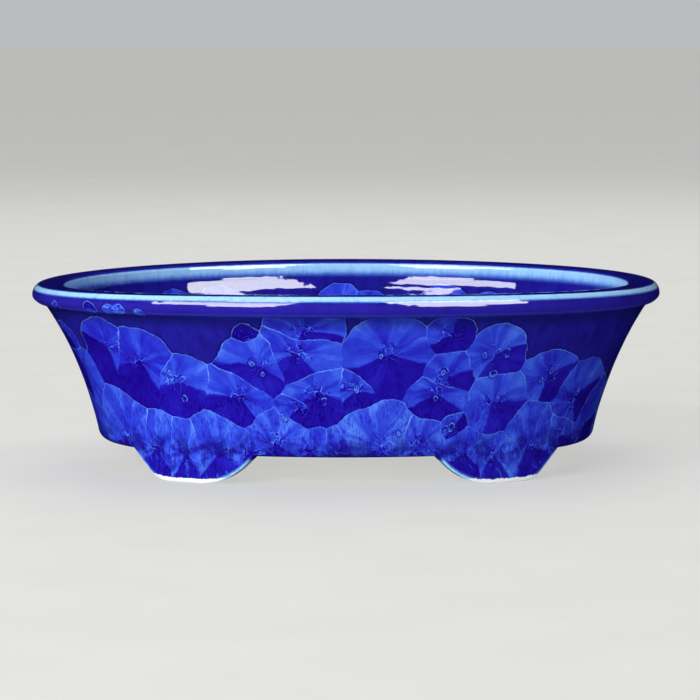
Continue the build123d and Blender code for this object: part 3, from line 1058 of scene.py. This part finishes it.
    def plain_glaze(self):
        """Between crystals the glaze runs down in faint streaks, darker round the crystals."""
        streak = self.noise(self.stretched(self.here, 1.0, 1.0, 0.16), 0.22, 3.0, 0.6)
        plain = self.ramp(streak, (0.25, 23, 17, 118), (0.75, 34, 31, 152))
        return self.tint(plain, self.step(1.4, 0.1, self.reach) * 0.6, 14, 4, 84)

    def ring_marks(self, shade):
        """A light loop inside a dark one."""
        ring = self.attribute("ring")
        offset = self.stretched(self.offset_from(ring), 1.3, 0.9, 0.0)
        gap = self.vector("LENGTH", offset) - self.separated(ring)[2]
        dark = self.step(0.55, 0.10, abs(gap - 0.10)) * self.inside
        light = self.step(0.28, 0.06, abs(gap + 0.45)) * self.inside
        light = light * self.step(0.38, 0.60, self.noise(self.here, 0.45, 1.0))
        shade = self.tint(shade, dark * 0.6, 24, 8, 130)
        return self.tint(shade, light * 0.75, 112, 158, 250)

    def lip_shades(self, shade):
        """Pooled glaze and painted shade darken under the lip; its outer face is more violet than the
        wall.
        """
        # painted shade of the lip's overhang, on top of glaze pooled in the crease
        pool_and_lip_shade = self.step(-2.6, -0.6, self.down) * self.step(7.0, 0.0, self.down)
        shade = self.tint(shade, pool_and_lip_shade * 0.55, 12, 20, 70)
        face = self.step(-2.0, -3.4, self.down) * self.step(-10.0, -8.0, self.down)
        return self.tint(shade, face * (1.0 - self.inside) * 0.5, 47, 35, 164)

    def low_shades(self, shade):
        """Low on the pot the crystals are small and crowded, with dark spots between them."""
        low = self.step(18.0, 11.5, self.height)
        above_feet = self.step(8.0, 12.0, self.height)
        spots = self.step(0.48, 0.58, self.noise(self.here, 0.38, 3.0, 0.65)) * low
        shade = self.tint(shade, spots * (0.38 + above_feet * 0.37), 20, 8, 104)
        blotch = self.step(0.44, 0.60, self.noise(self.here, 0.13)) * self.step(
            22.0, 14.0, self.height)
        shade = self.tint(shade, blotch * (0.20 + above_feet * 0.55), 24, 12, 130)
        leaning = self.combined(self.around - self.down * 0.5, self.down * 0.30)
        strokes = self.step(0.58, 0.68, self.noise(leaning, 0.45, 2.5, 0.6)) * low
        return self.tint(shade, strokes * 0.55, 62, 100, 238)

    def edges_and_clay(self, shade):
        """Thin glaze on edges shows the white clay, and the feet have none at the ground."""
        ragged = self.noise(self.stretched(self.here, 1.0, 1.0, 0.4), 0.5, 3.0, 0.6)
        thin = self.calc("MULTIPLY", self.attribute("thin", "Fac"), 0.62 + ragged * 0.7, clamp=True)
        thin_colour = self.ramp(thin, (0.0, 44, 60, 186), (0.5, 88, 138, 216),
                                (0.95, 158, 208, 244))
        shade = self.mix("RGBA", self.step(0.0, 0.6, thin), shade, thin_colour)
        bare_edge = self.attribute("bare", "Fac") + (self.noise(self.here, 0.9) - 0.5) * 1.3
        bare = self.step(-0.08, 0.08, bare_edge)
        clay = self.ramp(self.noise(self.here, 2.2, 3.0, 0.7), (0.3, 216, 224, 224),
                         (0.7, 238, 243, 242))
        fibre_rough = self.fine * self.inside * 0.03
        self.shade(Base_Color=self.mix("RGBA", bare, shade, clay),
                   Roughness=fibre_rough + (0.035 + bare * 0.5))
        grain = self.noise(self.here, 3.0) * bare
        swell = self.noise(self.here, 0.18, 1.0) * 2.0
        self.bump(grain * 0.4 + swell, 0.10, 0.0006)


def net_material():
    """Black moulded plastic net, slightly dusty."""
    m = Recipe("net_plastic")
    position = m.position()
    dust = m.noise(position, 0.35, 4.0, 0.65)
    m.shade(Base_Color=m.ramp(dust, (0.3, 26, 28, 30), (0.75, 58, 58, 54)),
            Roughness=0.35 + dust * 0.35)
    m.bump(m.noise(position, 1.8), 0.2, 0.0002)
    return m.material


def wire_material():
    """Brown anodised aluminium wire with drawing lines along it."""
    m = Recipe("clip_aluminium")
    drawn = m.noise(m.stretched(m.position(), 0.25, 5.0, 5.0), 1.0, 3.0, 0.6)
    m.shade(Base_Color=m.ramp(drawn, (0.3, 128, 88, 62), (0.7, 168, 122, 90)),
            Metallic=1.0, Roughness=0.25 + drawn * 0.25)
    m.bump(drawn, 0.15, 0.0002)
    return m.material


def floor_paper_material():
    """Pale matt studio paper."""
    m = Recipe("studio_paper")
    base = m.ramp(m.noise(m.position(), 0.02, 3.0), (0.3, 135, 135, 133), (0.7, 137, 137, 135))
    m.shade(Base_Color=base, Roughness=0.9, Specular_IOR_Level=0.0, Emission_Color=base,
            Emission_Strength=1.9)
    return m.material


# ---------------- studio

POT_MIDDLE = (0, 0, 0.04)
FLOOR_REACH = 14.0           # from the middle to the floor's sides and to the backdrop
BACKDROP_LOW = -1.0
BACKDROP_HIGH = 8.0
BACKDROP_SIDES = 64
CAMERA_LENS = 180.7
CAMERA_PLACE = (0.0016, -1.400, 0.1823)
CAMERA_DIP = 0.0975          # how far it looks down, in radians


def around(azimuth, elevation, distance):
    """A point seen from the pot: azimuth 0 is in front, and grows to the right."""
    a, e = math.radians(azimuth), math.radians(elevation)
    return (distance * math.cos(e) * math.sin(a), -distance * math.cos(e) * math.cos(a),
            distance * math.sin(e))


# Softboxes: name, place, size, power, and whether it shows in the glaze. One that shows there as a
# highlight doesn't light the pot, and one that lights the pot doesn't show.
SOFTBOXES = [
    ("soft_key", around(-30, 20, 1.7), (1.2, 0.9), 30, False),
    ("soft_top", (0, 0, 1.9), (2.2, 2.2), 26, False),
    ("soft_back", around(180, 40, 2.0), (1.6, 1.0), 12, False),
    ("box_left", around(-37, 28, 1.6), (1.10, 0.54), 28, True),
    ("box_right", around(35, 35, 1.6), (1.00, 0.88), 45, True),
    ("box_left_low", around(-29, 14.5, 1.6), (0.54, 0.25), 6.6, True),
    ("box_right_low", around(28, 14.5, 1.6), (0.56, 0.25), 7, True),
    ("box_left_high", around(-27, 47, 1.6), (0.5, 0.16), 4, True),
]


def add_softbox(name, place, size, power, in_the_glaze):
    data = bpy.data.lights.new(name, "AREA")
    data.shape = "RECTANGLE"
    data.size, data.size_y = size
    data.energy = power
    made = new_object(name, data)
    made.location = place
    direction = Vector(POT_MIDDLE) - made.location
    made.rotation_euler = direction.to_track_quat("-Z", "Y").to_euler()
    made.visible_glossy = in_the_glaze
    made.visible_diffuse = not in_the_glaze
    made.visible_camera = False


def add_faint_light_all_round():
    world = bpy.data.worlds.new("studio")
    bpy.context.scene.world = world
    world.use_nodes = True
    background = world.node_tree.nodes["Background"]
    background.inputs["Color"].default_value = (0.86, 0.88, 0.92, 1.0)
    background.inputs["Strength"].default_value = 0.12
    world.cycles_visibility.glossy = False


def backdrop_paper_material():
    """Plain paper that is evenly lit from behind."""
    m = Recipe("backdrop_paper")
    m.shade(Base_Color=(0.0, 0.0, 0.0, 1.0), Specular_IOR_Level=0.0,
            Emission_Color=(0.80, 0.81, 0.83, 1.0), Emission_Strength=0.62)
    return m.material


def add_paper(name, points, faces, material):
    """A sheet of studio paper that doesn't show in the glaze."""
    mesh = bpy.data.meshes.new(name)
    mesh.from_pydata(points, [], faces)
    mesh.materials.append(material)
    made = new_object(name, mesh)
    made.visible_glossy = False
    return made


def make_studio():
    for softbox in SOFTBOXES:
        add_softbox(*softbox)
    add_faint_light_all_round()
    reach = FLOOR_REACH
    corners = [(-reach, -reach, 0), (reach, -reach, 0), (reach, reach, 0), (-reach, reach, 0)]
    floor = add_paper("studio_floor", corners, [(0, 1, 2, 3)], floor_paper_material())
    sides = BACKDROP_SIDES
    turns = np.linspace(0, 2 * math.pi, sides + 1)[:-1]
    edges = [(reach * math.cos(turn), reach * math.sin(turn), z)
             for z in (BACKDROP_LOW, BACKDROP_HIGH) for turn in turns]
    faces = [(i, sides + i, sides + (i + 1) % sides, (i + 1) % sides) for i in range(sides)]
    backdrop = add_paper("studio_backdrop", edges, faces, backdrop_paper_material())
    backdrop.visible_diffuse = False
    backdrop.visible_shadow = False


def make_camera():
    data = bpy.data.cameras.new("camera")
    data.lens = CAMERA_LENS
    data.sensor_width = 36.0
    data.clip_start = 0.05
    made = new_object("camera", data)
    made.location = CAMERA_PLACE
    made.rotation_euler = (math.pi / 2 - CAMERA_DIP, 0.0, 0.0)
    bpy.context.scene.camera = made


# ---------------- the pot

make_camera()
make_studio()
bpy.context.scene.view_settings.view_transform = "Standard"

glaze = Glaze().material
make_lip(glaze)
make_wall(glaze)
make_floor(glaze)
for side_name, side in (("left", -1), ("right", 1)):
    for end_name, end in (("front", -1), ("back", 1)):
        node = f"foot_{end_name}_{side_name}"
        make_foot(node, side, end, glaze)

net = net_material()
wire = wire_material()
for side_name in ("left", "right"):
    for node, material in ((f"drain_screen_{side_name}", net), (f"screen_clip_{side_name}", wire)):
        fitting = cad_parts[node]
        if not fitting.material_slots:
            fitting.data.materials.append(None)
        for place in fitting.material_slots:
            place.material = material
